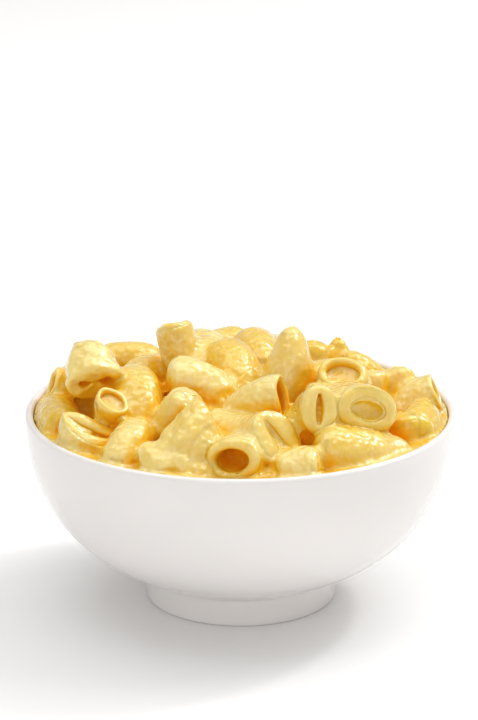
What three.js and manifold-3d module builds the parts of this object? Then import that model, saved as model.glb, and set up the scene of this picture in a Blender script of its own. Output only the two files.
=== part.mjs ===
// A bowl of macaroni cheese: large cooked elbow macaroni heaped in a footed porcelain bowl.
// Millimetres, +Z up, origin at the centre of the foot's underside.
import * as THREE from "three";
import { mergeVertices } from "three/addons/utils/BufferGeometryUtils.js";
import Module from "manifold-3d";

const wasm = await Module();
wasm.setup();

// Driving dimensions of the bowl.
const RIM_RADIUS = 57;
const BOWL_HEIGHT = 52;
const LIP_THICKNESS = 2.2;
const FOOT_RADIUS = 25.2;
const FOOT_HEIGHT = 7.6;
const FOOT_WALL = 3;
const RECESS_DEPTH = 4.6;
const FLOOR_HEIGHT = 9.4; // inside of the bowl at its centre
const BOWL_SIDES = 48;

// Driving dimensions of one cooked elbow, its sauce included.
const TUBE_RADIUS = 6.3;
const WALL = 2.5;
const ELBOW_LENGTH = 28;
const ELBOW_CURL = 70; // degrees between its two ends
const TUBE_SIDES = 8;
const TUBE_STEPS = 4;
const BORE_DEPTH = 9; // how far a bore that shows runs in
const END_DOME = 0.5; // how far an end that isn't a mouth narrows
const WIDENING = 0.62; // how far a pinched mouth widens for each part that it narrows

// The heap.
const GAP = 0.35; // between the heap and the bowl
// Top of the core, from the bowl's wall to the centre: each its radius and its height above the rim.
const CORE_TOP = [[53.9, -1], [50, -2], [43, -5], [30, -5], [12, -3], [0, -2.5]];
const SMALLEST_DETAIL = 0.12;
const MOST_MOVED = 2.2; // an elbow that crosses the wall by more than this is cut shorter
const GOLDEN_ANGLE = 137.508;
// Layers of elbows that no row names: places tried, the y that they lie behind, reach and where it
// starts as a share of the area, height above the rim at the centre and the edge, most that a heading
// strays from running round the bowl, roll, greatest tilt, and least distance between two centrelines.
const LAYERS = [
  {
    seed: 0, turns: 900, behind: -6, radius: 48, inner: 0, crown: 8.5, edge: -1,
    stray: 180, roll: 0, tilt: 20, clear: 8.6,
  },
  {
    seed: 4000, turns: 500, behind: -6, radius: 48, inner: 0.85, crown: -2, edge: -2,
    stray: 25, roll: 60, tilt: 10, clear: 7.6,
  },
  {
    seed: 2000, turns: 900, behind: -60, radius: 47, inner: 0, crown: 0, edge: -7,
    stray: 180, roll: 0, tilt: 12, clear: 7.2,
  },
];

const degrees = THREE.MathUtils.degToRad;

// ---------------------------------------------------------------- bowl

// Points of a bowl's wall from foot to rim, each [radius, height].
function wallCurve(start, pullOut, pullUp, end, divisions) {
  const corners = [start, pullOut, pullUp, end].map((p) => new THREE.Vector2(...p));
  return new THREE.CubicBezierCurve(...corners).getPoints(divisions);
}

const outerWall = (divisions) =>
  wallCurve(
    [FOOT_RADIUS - 0.3, FOOT_HEIGHT],
    [0.745 * RIM_RADIUS, FOOT_HEIGHT + 6],
    [RIM_RADIUS, 0.52 * BOWL_HEIGHT],
    [RIM_RADIUS, BOWL_HEIGHT - LIP_THICKNESS / 2],
    divisions,
  );

const innerRimRadius = RIM_RADIUS - LIP_THICKNESS;

const innerWall = (divisions, inset = 0) =>
  wallCurve(
    [0, FLOOR_HEIGHT + inset],
    [0.67 * RIM_RADIUS - inset, FLOOR_HEIGHT + inset],
    [innerRimRadius - 0.4 - inset, 0.5 * BOWL_HEIGHT],
    [innerRimRadius - inset, BOWL_HEIGHT - LIP_THICKNESS / 2],
    divisions,
  );

function lathe(points, sides = BOWL_SIDES) {
  return new THREE.LatheGeometry(points, sides).rotateX(Math.PI / 2);
}

function bowlGeometry() {
  const recessRadius = FOOT_RADIUS - FOOT_WALL;
  const foot = [
    [0, RECESS_DEPTH],
    [recessRadius - 1.4, RECESS_DEPTH],
    [recessRadius, RECESS_DEPTH - 1.4],
    [recessRadius + 0.5, 0],
    [FOOT_RADIUS - 0.5, 0],
    [FOOT_RADIUS, 0.6],
  ].map((p) => new THREE.Vector2(...p));
  const lip = new THREE.EllipseCurve(
    RIM_RADIUS - LIP_THICKNESS / 2,
    BOWL_HEIGHT - LIP_THICKNESS / 2,
    LIP_THICKNESS / 2,
    LIP_THICKNESS / 2,
    0,
    Math.PI,
  ).getPoints(4);
  return lathe([...foot, ...outerWall(10), ...lip.slice(1, -1), ...innerWall(10).reverse()]);
}

// ---------------------------------------------------------------- macaroni

// Right, up-tilted frame of a tube that runs along a heading and a pitch, in degrees. Its curl turns
// down at roll 0, to its left at 90 and up at 180.
function tubeFrame(heading, pitch, roll) {
  const [a, p, r] = [heading, pitch, roll].map(degrees);
  const along = new THREE.Vector3(Math.cos(a) * Math.cos(p), Math.sin(a) * Math.cos(p), Math.sin(p));
  const down = new THREE.Vector3(Math.cos(a) * Math.sin(p), Math.sin(a) * Math.sin(p), -Math.cos(p));
  const side = new THREE.Vector3().crossVectors(along, down);
  const inward = down.multiplyScalar(Math.cos(r)).addScaledVector(side, Math.sin(r));
  return { along, inward, across: new THREE.Vector3().crossVectors(along, inward) };
}

// A straight rod between two shares of an elbow's length (-0.5 to 0.5), pinched, bowed and tapered
// towards its mouth, and curled round the elbow's arc. An inset rod, a bore, is also closed to a slit,
// and nipped at the slit's middle.
function rodGeometry(elbow, inset, from, to) {
  const radius = TUBE_RADIUS * elbow.size;
  const { length } = elbow;
  const section = new THREE.Shape().absarc(0, 0, radius - inset, 0, 2 * Math.PI);
  const geometry = new THREE.ExtrudeGeometry(section, {
    depth: length * (to - from),
    steps: TUBE_STEPS,
    curveSegments: TUBE_SIDES / 2,
    bevelEnabled: false,
  });
  const { along, inward, across } = tubeFrame(elbow.heading, elbow.pitch, elbow.roll);
  const curl = degrees(elbow.curl);
  const bendRadius = length / curl;
  const turn = degrees(elbow.pinchTurn);
  const place = new THREE.Vector3(elbow.x, elbow.y, BOWL_HEIGHT + elbow.up);
  const position = geometry.getAttribute("position");
  const point = new THREE.Vector3();
  for (let i = 0; i < position.count; i++) {
    point.fromBufferAttribute(position, i);
    const share = from + point.z / length;
    const mouthward = THREE.MathUtils.smoothstep(share, 0.05, 0.5);
    const pinch = elbow.pinch * mouthward + 0.04;
    const endward = THREE.MathUtils.smoothstep(Math.abs(share), 0.3, 0.5);
    const kept = (1 - elbow.taper * mouthward) * (1 - elbow.dome * endward);
    const off = Math.hypot(point.x, point.y);
    const nipped = elbow.nip * (point.x / off) ** 4;
    const shut = inset > 0 ? 1 - Math.max(elbow.close, nipped) * mouthward : 1;
    const wide = (point.y / off) * (off + radius * pinch * WIDENING) * kept;
    const bow = elbow.bow * mouthward * (wide / radius) ** 2;
    const narrow = (point.x / off) * (off * shut - radius * pinch) * kept + bow;
    const u = narrow * Math.cos(turn) - wide * Math.sin(turn);
    const v = narrow * Math.sin(turn) + wide * Math.cos(turn);
    const angle = curl * (share - elbow.held); // from the point that the elbow is placed by
    const reach = bendRadius - u;
    point
      .copy(place)
      .addScaledVector(inward, bendRadius - reach * Math.cos(angle))
      .addScaledVector(along, reach * Math.sin(angle))
      .addScaledVector(across, v);
    position.setXYZ(i, point.x, point.y, point.z);
  }
  return geometry;
}

// Elbows placed one by one: x to the right, y to the back and up above the rim, in millimetres, of the
// mouth (held 0.5) or the middle (held 0), with the way it points there.
const placed = (x, y, up, heading, pitch, roll, more = {}) => ({
  x, y, up, heading, pitch, roll,
  curl: ELBOW_CURL, length: ELBOW_LENGTH, size: 1, pinch: 0.08, pinchTurn: 0, close: 0, nip: 0, bow: 0,
  taper: 0, dome: END_DOME, wall: WALL, bore: BORE_DEPTH, held: 0, open: false, ...more,
});
const mouth = (x, y, up, heading, pitch, roll, more = {}) =>
  placed(x, y, up, heading, pitch, roll, { held: 0.5, open: true, dome: 0, ...more });

const frontElbows = {
  ring: mouth(-2.4, -48, 2.1, -100, 16, 113, {
    size: 1.06, pinch: 0.08, length: 22, wall: 2.9, bore: 9, pinchTurn: 70,
  }),
  slantSlit: mouth(10, -41, 5.4, -49, 35, -157, {
    size: 1.25, pinch: 0.1, close: 0.6, wall: 2.6, length: 26, curl: 55, bore: 2, pinchTurn: 85,
  }),
  smileSlit: mouth(-38.3, -28, 3.3, -53, 57, 90, {
    size: 1.14, pinch: 0.35, close: 0.27, bow: 1.5, length: 20, bore: 3.5, pinchTurn: 42,
  }),
  upturned: mouth(-33, -22, 9.5, -64, 61, 101, { size: 0.76, wall: 1.5, length: 20, bore: 1.2 }),
  leftFace: mouth(-37.8, -13, 11.8, -79, -23, -171, {
    size: 0.98, pinch: 0.1, nip: 0.85, close: 0, wall: 1.7, length: 8, curl: 10, bore: 1.5, pinchTurn: -3,
  }),
  leftBend: placed(-26.3, -15.5, 5.6, -78, -40, 0, { curl: 105, size: 0.97, length: 26 }),
  leftFront: placed(-28.5, -33, 1.2, 66, 20, 0, { curl: 95, size: 0.82, length: 18 }),
  behindPoint: placed(-16.2, -25, 5.9, -2, 63, -36, { length: 15, size: 0.84, curl: 40 }),
  point: mouth(-10.6, -38, 14.3, 54, 80, 126, {
    open: false, size: 1.12, taper: 0.66, dome: 0.4, length: 22, curl: 20,
  }),
  lumpy: placed(-17.4, -42.5, -1.3, -5, -3, -19, { size: 1, length: 15, curl: 60 }),
  standing: mouth(-18.2, 12, 19.6, 143, 70, -125, {
    open: false, dome: 0, taper: 0.06, size: 0.9, length: 26, curl: 15,
  }),
  backLeft: placed(-29.8, 27, 4.8, -1, -3, -18, { size: 0.85, length: 16, curl: 50 }),
  backLeftLow: placed(-25, 15, 3.5, 60, 0, 0, { length: 20 }),
  middle: placed(-10.7, -9, 9.1, -9, -22, -20, { length: 18, curl: 60 }),
  knee: placed(-1, 0, 8, -75, -35, 0, { curl: 100, size: 1.06, length: 26 }),
  behindKnee: placed(-11.5, 8, 8, -110, -30, 0, { length: 22, curl: 90 }),
  backMiddle: placed(4.7, 24, 7, -80, -12, 0, { curl: 60, length: 20, size: 0.95 }),
  tall: mouth(13.2, 2, 21.8, 95, 77, 86, {
    open: false, taper: 0.45, dome: 0.35, size: 1.12, length: 30, curl: 20,
  }),
  sideMouth: mouth(11, -24, 10.7, -17, 11, -4, {
    size: 0.95, pinch: 0.08, wall: 1.8, length: 22, curl: 60, bore: 7, pinchTurn: 78,
  }),
  uprightSlit: mouth(20, -35, 11.4, -75, 18, 3, {
    size: 0.92, pinch: 0.12, close: 0.5, length: 18, curl: 60, bore: 1.8, pinchTurn: 82,
  }),
  rightMouth: mouth(32.7, -30, 9.2, -64, 7, -55, {
    size: 1.27, pinch: 0.16, wall: 3.8, length: 24, curl: 80, bore: 2, pinchTurn: 36,
  }),
  upperMouth: mouth(26.3, -13, 14.2, -98, 57, -3, { size: 0.97, wall: 2.2, length: 20, bore: 1.5 }),
  shell: placed(29.3, -34.5, -1, 26, -16, 60, { length: 24, curl: 60, size: 1.04 }),
  stub: placed(15.1, -45, -1.7, -5, 14, -20, { length: 12, size: 0.92, curl: 20 }),
  rightTop: mouth(43.8, -17, 4.1, 117, 78, -61, {
    open: false, dome: 0.3, size: 0.76, length: 18, curl: 20,
  }),
  rightLow: placed(40, -30, -4, 60, 10, 0, { length: 12, curl: 40 }),
  rightEdge: mouth(52.2, 3, 3.8, 0, 23, -20, { size: 0.95, wall: 1.3, length: 16, curl: 40, bore: 5 }),
  rightBack: mouth(42.2, 11, 7.9, 101, 78, -32, {
    open: false, taper: 0.25, dome: 0.25, size: 0.8, length: 20, curl: 20,
  }),
  rightBackTwin: mouth(35.7, 8, 8, 67, 78, 59, {
    open: false, taper: 0.25, dome: 0.25, size: 0.75, length: 20, curl: 20,
  }),
  backRight: placed(32.6, 18, 4, -19, -31, -21, { size: 0.75, length: 12, curl: 60 }),
  backPoint: mouth(26.3, 26, 11.4, 92, 83, -4, {
    open: false, taper: 0.6, dome: 0.4, size: 0.8, length: 18, curl: 20,
  }),
  backRightTall: mouth(20, 22, 11.8, 15, 82, -80, { open: false, dome: 0.4, size: 0.74, length: 18 }),
  underUpper: placed(22, -17, 7, 15, -10, 0, { length: 11, size: 0.85, curl: 30 }),
  leftEdge: mouth(-50.4, 4, 5.4, -178, 25, 20, { size: 0.95, wall: 1.3, length: 16, curl: 40, bore: 5 }),
  leftBackEdge: placed(-46, 21, 0.5, 60, 10, 0, { length: 16 }),
  deep: placed(15.3, -31, 4.7, -139, 72, 26, { length: 12, size: 0.56, curl: 30 }),
  behindRing: placed(-8, -22, 0, 115, 10, 0, { length: 18 }),
  leftFoot: placed(-47.3, -9, -1.2, -79, 0, 90, { curl: 22, length: 18, size: 0.95 }),
  rightFoot: placed(46.5, -12, -1.5, 76, 0, 90, { curl: 22, length: 18, size: 0.9 }),
  underSlit: placed(9, -42, -5.5, 75, 0, 0, { length: 14, size: 0.85 }),
  underPoint: placed(-9.5, -42.5, -3, 65, 0, 0, { length: 13, size: 0.85 }),
  leftTower: mouth(-40.8, -1, 18.9, 136, 75, -102, {
    open: false, dome: 0.05, taper: 0.45, size: 0.98, length: 13, curl: 12,
  }),
};

// A steady draw between low and high, the same each time for the same number.
function draw(number, low, high) {
  const value = Math.sin(number * 12.9898 + 4.1) * 43758.5453;
  return low + (high - low) * (value - Math.floor(value));
}

// Points along an elbow's centreline, with their heights above the rim. An open mouth has one more
// before it, which keeps others out of it.
function centreline(elbow) {
  const { along, inward } = tubeFrame(elbow.heading, elbow.pitch, elbow.roll);
  const bendRadius = elbow.length / degrees(elbow.curl);
  const shares = elbow.open ? [-0.4, -0.2, 0, 0.2, 0.4, 0.6] : [-0.4, -0.2, 0, 0.2, 0.4];
  return shares.map((share) => {
    const angle = degrees(elbow.curl) * (share - elbow.held);
    return new THREE.Vector3(elbow.x, elbow.y, elbow.up)
      .addScaledVector(inward, bendRadius - bendRadius * Math.cos(angle))
      .addScaledVector(along, bendRadius * Math.sin(angle));
  });
}

// How far from the axis food may reach at a height above the rim.
function reachAt(up) {
  const wall = innerWall(40);
  const height = BOWL_HEIGHT + up;
  const above = wall.findIndex((p) => p.y >= height);
  return above < 0 ? RIM_RADIUS - GAP : wall[above].x - GAP;
}

// How far an elbow would cross the bowl's wall.
function excessOf(elbow) {
  const tube = TUBE_RADIUS * elbow.size;
  const line = centreline({ ...elbow, open: false });
  return Math.max(...line.map((p) => Math.hypot(p.x, p.y) + tube - reachAt(p.z - tube / 2)));
}

// The elbow, cut shorter where it would cross the bowl's wall by much, then moved towards the axis.
function fitted(elbow) {
  let cut = elbow;
  for (let share = 0.9; share > 0.5 && excessOf(cut) > MOST_MOVED; share -= 0.1) {
    cut = { ...elbow, length: elbow.length * share, curl: elbow.curl * share };
  }
  const kept = 1 - Math.max(0, excessOf(cut)) / Math.hypot(cut.x, cut.y);
  return { ...cut, x: cut.x * kept, y: cut.y * kept };
}

// More elbows wound out from the centre, wherever none of the others lies too near.
function windElbows(layer, others) {
  const lines = others.map(centreline);
  const wound = [];
  for (let i = 0; i < layer.turns; i++) {
    const out = layer.inner + ((1 - layer.inner) * (i + 0.5)) / layer.turns;
    const radius = layer.radius * Math.sqrt(out);
    const turned = GOLDEN_ANGLE * i;
    const angle = degrees(turned);
    const rise = layer.edge + (layer.crown - layer.edge) * (1 - (radius / layer.radius) ** 2);
    const pick = layer.seed + i;
    const elbow = fitted(
      placed(
        radius * Math.cos(angle),
        radius * Math.sin(angle),
        rise + draw(pick, -1, 1),
        turned + 90 + draw(pick + 0.1, -layer.stray, layer.stray),
        draw(pick + 0.2, -layer.tilt, layer.tilt),
        layer.roll + draw(pick + 0.3, -60, 60),
        {
          length: draw(pick + 0.4, 22, 27),
          curl: draw(pick + 0.5, 55, 90),
          size: draw(pick + 0.6, 0.92, 1.04),
        },
      ),
    );
    const line = centreline(elbow);
    const isClear = (other) => line.every((p) => other.every((q) => p.distanceTo(q) > layer.clear));
    if (elbow.y > layer.behind && lines.every(isClear)) {
      lines.push(line);
      wound.push(elbow);
    }
  }
  return wound;
}

const elbows = Object.values(frontElbows).map(fitted);
LAYERS.forEach((layer) => elbows.push(...windElbows(layer, elbows)));

// ---------------------------------------------------------------- fusing

function solidFrom(geometry) {
  const bare = geometry.clone();
  bare.deleteAttribute("normal");
  bare.deleteAttribute("uv");
  const merged = mergeVertices(bare, 1e-4);
  return new wasm.Manifold(
    new wasm.Mesh({
      numProp: 3,
      vertProperties: new Float32Array(merged.getAttribute("position").array),
      triVerts: new Uint32Array(merged.getIndex().array),
    }),
  );
}

function geometryFrom(solid) {
  const { vertProperties, triVerts } = solid.getMesh();
  const geometry = new THREE.BufferGeometry();
  geometry.setAttribute("position", new THREE.BufferAttribute(vertProperties, 3));
  geometry.setIndex(new THREE.BufferAttribute(triVerts, 1));
  geometry.computeVertexNormals();
  return geometry;
}

// What the bowl holds under the elbows that show.
function coreGeometry() {
  const side = innerWall(10, GAP).filter((p) => p.y < BOWL_HEIGHT + CORE_TOP[0][1]);
  const top = CORE_TOP.map(([radius, up]) => new THREE.Vector2(radius, BOWL_HEIGHT + up));
  return lathe([...side, ...top]);
}

// The room that the heap may fill: inside the bowl, and above its lip.
function roomGeometry() {
  const lipTop = BOWL_HEIGHT + GAP;
  const above = [
    [innerRimRadius - GAP, lipTop],
    [RIM_RADIUS, lipTop],
    [RIM_RADIUS, lipTop + 40],
    [0, lipTop + 40],
  ].map((p) => new THREE.Vector2(...p));
  return lathe([...innerWall(10, GAP), ...above]);
}

// The largest closed body of a fused heap, with no sealed hollow and no loose scrap.
function wholeBody(solid) {
  const bodies = solid.decompose();
  return bodies.reduce((best, body) => (body.volume() > best.volume() ? body : best));
}

function elbowSolid(elbow) {
  const rod = solidFrom(rodGeometry(elbow, 0, -0.5, 0.5));
  if (!elbow.open) return rod;
  const bore = rodGeometry(elbow, elbow.wall, Math.max(-0.4, 0.5 - elbow.bore / elbow.length), 0.52);
  return rod.subtract(solidFrom(bore));
}

function heapGeometry() {
  const fused = wasm.Manifold.union([solidFrom(coreGeometry()), ...elbows.map(elbowSolid)]);
  const kept = wholeBody(fused.intersect(solidFrom(roomGeometry())));
  return geometryFrom(wholeBody(kept.asOriginal().simplify(SMALLEST_DETAIL)));
}

// ---------------------------------------------------------------- the group

function named(name, geometry, material) {
  const mesh = new THREE.Mesh(geometry, material);
  mesh.name = name;
  return mesh;
}

const porcelain = new THREE.MeshStandardMaterial({ color: 0xf1efec, roughness: 0.18, metalness: 0 });
const cheesePasta = new THREE.MeshStandardMaterial({ color: 0xf2cd6b, roughness: 0.35, metalness: 0 });

const macaroniCheese = new THREE.Group();
macaroniCheese.add(named("bowl", bowlGeometry(), porcelain));
macaroniCheese.add(named("macaroni", heapGeometry(), cheesePasta));

export default macaroniCheese;
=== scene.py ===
"""A bowl of macaroni cheese: large cooked elbow macaroni heaped in a footed porcelain bowl."""

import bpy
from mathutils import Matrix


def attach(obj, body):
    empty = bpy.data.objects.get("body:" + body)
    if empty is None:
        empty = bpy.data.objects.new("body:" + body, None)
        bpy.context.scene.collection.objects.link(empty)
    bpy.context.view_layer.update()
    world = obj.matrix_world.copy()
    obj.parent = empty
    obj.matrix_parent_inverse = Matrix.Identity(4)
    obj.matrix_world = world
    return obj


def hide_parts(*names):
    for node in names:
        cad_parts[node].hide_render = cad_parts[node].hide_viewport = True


bl_info = {
    "name": "Bowl of macaroni cheese",
    "version": (1, 0, 0),
    "blender": (4, 5, 0),
    "location": "View3D > Sidebar > Macaroni",
    "description": "A footed porcelain bowl heaped with cooked elbow macaroni in cheese sauce",
    "category": "Add Mesh",
}

import bpy
import functools
import math
from mathutils import Vector, noise
from mathutils.bvhtree import BVHTree

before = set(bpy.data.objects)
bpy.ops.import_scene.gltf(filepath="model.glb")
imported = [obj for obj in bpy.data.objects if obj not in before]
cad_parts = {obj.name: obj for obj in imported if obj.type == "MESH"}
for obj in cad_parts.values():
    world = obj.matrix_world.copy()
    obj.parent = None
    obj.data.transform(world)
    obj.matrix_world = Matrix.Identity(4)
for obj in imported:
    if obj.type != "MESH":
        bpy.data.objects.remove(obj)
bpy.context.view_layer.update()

MM = 0.001

# The frame's own numbers, in millimetres and degrees.
FOOT_RADIUS = 25.2
FOOT_HEIGHT = 7.6
FOOT_WALL = 3
RECESS_DEPTH = 4.6
FLOOR_HEIGHT = 9.4
ELBOW_LENGTH = 28
ELBOW_CURL = 70
WALL = 2.5
END_DOME = 0.5  # how far an end that isn't a mouth narrows
WIDENING = 0.62  # how far a pinched mouth widens for each part that it narrows
GAP = 0.35  # between the heap and the bowl
BORE_DEPTH = 9
MOST_MOVED = 2.2  # an elbow that crosses the wall by more than this is cut shorter
GOLDEN_ANGLE = 137.508
# Top of the core, from the bowl's wall to the centre: each its radius and its height above the rim.
CORE_TOP = [(53.9, -1), (50, -2), (43, -5), (30, -5), (12, -3), (0, -2.5)]
# Layers of elbows that no row names: places tried, the y that they lie behind, reach and where it
# starts as a share of the area, height above the rim at the centre and the edge, most that a heading
# strays from running round the bowl, roll, greatest tilt, and least distance between two centrelines.
LAYERS = [
    dict(
        seed=0, turns=900, behind=-6, radius=48, inner=0, crown=8.5, edge=-1,
        stray=180, roll=0, tilt=20, clear=8.6,
    ),
    dict(
        seed=4000, turns=500, behind=-6, radius=48, inner=0.85, crown=-2, edge=-2,
        stray=25, roll=60, tilt=10, clear=7.6,
    ),
    dict(
        seed=2000, turns=900, behind=-60, radius=47, inner=0, crown=0, edge=-7,
        stray=180, roll=0, tilt=12, clear=7.2,
    ),
]

# The dressing's own numbers, in millimetres.
LIP_EASE = 1.2  # how far food over the lip keeps from the bowl's outside
LIP_DEPTH = 1.5  # how far under the rim the lip is rounded
MOUTH_EASE = 1.2  # rounding of a mouth's two edges
MOUTH_WANDER = 0.9  # how far a mouth's edge runs unevenly
SWELL_LENGTH = 8  # over which the pasta swells as it cooks
RIPPLE_LENGTH = 3  # over which the sauce on it lies unevenly
CORE_CUT = 41.5  # height of the cut through the plain core
COAT_CUT = 41  # height under which the coat is cut off, inside the core
HIDDEN_UNDER = 42  # height under which nothing is seen
AT_EDGE = 0.1  # nearer than this to a mouth's edge is on it
END_COAT = 0.6  # taken off the coat over an end, which the softening rounds
MOUTH_BACK = 0.3  # how far the coat stays behind a bare mouth's edge, or goes past a coated one's
BARE_RUN_OUT = 2.4  # over which the coat thins out behind a bare mouth
MOUTH_REACH = 1.35  # how far a mouth reaches, as a share of its elbow's radius
MOUTH_ROUND = 2  # how far outside that reach a mouth still thins the coat
THIN_COAT = 0.18  # most that the coat stands up beside a bare mouth
THIN_FROM, THIN_TO = 1.5, 5  # behind a bare mouth, where the coat starts to thicken and is whole
CURD_SHARE = 0.35  # how strongly curds show on a smooth elbow
ROUGH_SHARE = 0.7  # what each step of roughness adds to that
COAT_PATCH = 6  # over which the coat thins and thickens
CURD_PATCH = 2.8  # over which curds lie where the pasta is broken
SHUT_IN_REACH = 11  # how near food has to be to shut a point in
SHUT_IN_START = 0.5  # how far off the surface the ways out of it start
SHUT_IN_RAYS = 16
AIM = (-0.5, 26)  # x and height of the point that the camera keeps its distance from


# ---------------------------------------------------------------- sizes and colours

def millimetres(name, description, default):
    return bpy.props.FloatProperty(
        name=name, description=description, default=default * MM,
        unit="LENGTH", subtype="DISTANCE", precision=4,
    )


def colour(name, description, default):
    return bpy.props.StringProperty(name=name, description=description + ", as sRGB hex", default=default)


class BowlSettings(bpy.types.PropertyGroup):
    rim_radius: millimetres("Rim radius", "Outside radius of the bowl's lip", 57)
    height: millimetres("Height", "Height of the bowl from its foot to its lip", 52)
    lip: millimetres("Lip", "Thickness of the rounded lip", 2.2)
    sides: bpy.props.IntProperty(name="Sides", description="Facets round the bowl", default=144, min=16)
    glaze: colour("Glaze", "Colour of the glazed porcelain", "#EDEAE7")


class MacaroniSettings(bpy.types.PropertyGroup):
    radius: millimetres("Tube radius", "Outside radius of a cooked macaroni", 6.3)
    wall: millimetres("Wall", "Thickness of a cooked macaroni's wall", WALL)
    unevenness: millimetres("Unevenness", "How far the surface swells and sinks", 0.22)
    sides: bpy.props.IntProperty(name="Sides", description="Facets round one macaroni", default=28, min=8)
    rings: bpy.props.IntProperty(name="Rings", description="Rings along one macaroni", default=18, min=4)
    pasta: colour("Pasta", "Colour of the pasta where light falls on it", "#F5E295")
    # painted in part: the golden colour stands partly for shade and for light through the pasta
    pasta_golden_and_shade: colour("Deep pasta", "Colour of the pasta where it's thick", "#E9BF24")


class SauceSettings(bpy.types.PropertyGroup):
    grain: millimetres("Grain", "Size of the cells that the sauce is set from", 0.66)
    softening: bpy.props.IntProperty(
        name="Softening", description="Rounds that soften the sauce", default=6, min=0,
    )
    filling: millimetres("Filling", "Radius to which the sauce fills the creases", 0.65)
    coat: millimetres("Coat", "How far the sauce stands up and sinks on the pasta", 0.3)
    sauce: colour("Sauce", "Colour of the cheese sauce", "#ECBE28")
    # pale specks of this colour are partly curds and partly painted glints
    curd_and_glint: colour("Curd", "Colour of the small curds in the sauce", "#FBF0C4")
    # painted shade: the deep amber laid into creases where the food shuts itself in
    painted_crease_shade: colour("Deep sauce", "Colour of the sauce where it has pooled", "#F0A616")


class StageSettings(bpy.types.PropertyGroup):
    floor_radius: millimetres("Floor", "Radius of the floor", 4000)
    lens: bpy.props.FloatProperty(
        name="Lens", description="Focal length", default=168.6, subtype="DISTANCE_CAMERA",
    )
    distance: millimetres("Distance", "From the camera to the bowl", 900)
    elevation: bpy.props.FloatProperty(
        name="Elevation", description="Camera above the horizon",
        default=math.radians(19.95), subtype="ANGLE",
    )
    tilt: bpy.props.FloatProperty(
        name="Tilt", description="How far the camera looks down",
        default=math.radians(17.56), subtype="ANGLE",
    )
    floor: colour("Floor colour", "Colour of the floor", "#F4F4F4")


def settings(name):
    return getattr(bpy.context.scene, name)


# ---------------------------------------------------------------- making by hand

def deselect_all():
    if bpy.context.mode != "OBJECT":
        bpy.ops.object.mode_set(mode="OBJECT")
    bpy.ops.object.select_all(action="DESELECT")


def take(piece):
    """Selects one piece alone and makes it active."""
    deselect_all()
    piece.select_set(True)
    bpy.context.view_layer.objects.active = piece


def finish_with(piece, kind, **values):
    """Adds a modifier with its values and applies it."""
    take(piece)
    modifier = piece.modifiers.new(kind.lower(), kind)
    for name, value in values.items():
        setattr(modifier, name, value)
    bpy.ops.object.modifier_apply(modifier=modifier.name)


def turned(name, profile, sides):
    """A closed body turned round the Z axis: a ring that is extruded and resized along a profile."""
    deselect_all()
    radius, height = profile[0]
    bpy.ops.mesh.primitive_circle_add(vertices=sides, radius=radius * MM, location=(0, 0, height * MM))
    piece = bpy.context.active_object
    piece.name = piece.data.name = name
    bpy.ops.object.transform_apply(location=True, rotation=True, scale=True)
    bpy.ops.object.mode_set(mode="EDIT")
    bpy.ops.mesh.select_all(action="SELECT")
    bpy.ops.mesh.edge_face_add()
    bpy.ops.mesh.select_all(action="SELECT")
    bpy.ops.mesh.select_mode(type="EDGE")
    bpy.ops.mesh.region_to_loop()
    for to_radius, to_height in profile[1:]:
        bpy.ops.mesh.extrude_edges_move(
            TRANSFORM_OT_translate={"value": (0, 0, (to_height - height) * MM)},
        )
        grown = to_radius / radius
        bpy.ops.transform.resize(value=(grown, grown, 1), center_override=(0, 0, to_height * MM))
        radius, height = to_radius, to_height
    bpy.ops.mesh.edge_face_add()
    bpy.ops.mesh.select_all(action="SELECT")
    bpy.ops.mesh.normals_make_consistent(inside=False)
    bpy.ops.object.mode_set(mode="OBJECT")
    return piece


def joined(pieces, name):
    deselect_all()
    for piece in pieces:
        piece.select_set(True)
    bpy.context.view_layer.objects.active = pieces[0]
    bpy.ops.object.join()
    whole = bpy.context.active_object
    whole.name = whole.data.name = name
    return whole


def copied(piece):
    take(piece)
    bpy.ops.object.duplicate(linked=False)
    return bpy.context.active_object


def put_in_frame(piece, node):
    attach(piece, "root")
    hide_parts(node)


# ---------------------------------------------------------------- materials

def linear(hex_colour):
    """An sRGB hex colour as linear light."""
    parts = [int(hex_colour[i:i + 2], 16) / 255 for i in (1, 3, 5)]
    return [p / 12.92 if p <= 0.04045 else ((p + 0.055) / 1.055) ** 2.4 for p in parts] + [1]


def in_use(sockets, name=None):
    """The socket that is in use, of the ones that share a name."""
    return next(s for s in sockets if s.enabled and name in (None, s.name))


def add(tree, kind, inputs=None, **values):
    """Adds a node with its settings; an input is a value or another node's socket."""
    node = tree.nodes.new("ShaderNode" + kind)
    for name, value in values.items():
        setattr(node, name, value)
    for name, value in (inputs or {}).items():
        entry = node.inputs[name] if isinstance(name, int) else in_use(node.inputs, name)
        if isinstance(value, bpy.types.NodeSocket):
            tree.links.new(value, entry)
        else:
            entry.default_value = value
    return node


def new_material(name):
    material = bpy.data.materials.new(name)
    material.use_nodes = True
    tree = material.node_tree
    tree.nodes.clear()
    return material, tree, add(tree, "TexCoord").outputs["Object"]


def ramp(tree, factor, stops):
    """A colour ramp with its stops as (place, hex colour)."""
    node = add(tree, "ValToRGB", {"Fac": factor})
    elements = node.color_ramp.elements
    for i, (place, hex_colour) in enumerate(stops):
        element = elements[i] if i < 2 else elements.new(place)
        element.position = place
        element.color = linear(hex_colour)
    return node.outputs["Color"]


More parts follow.
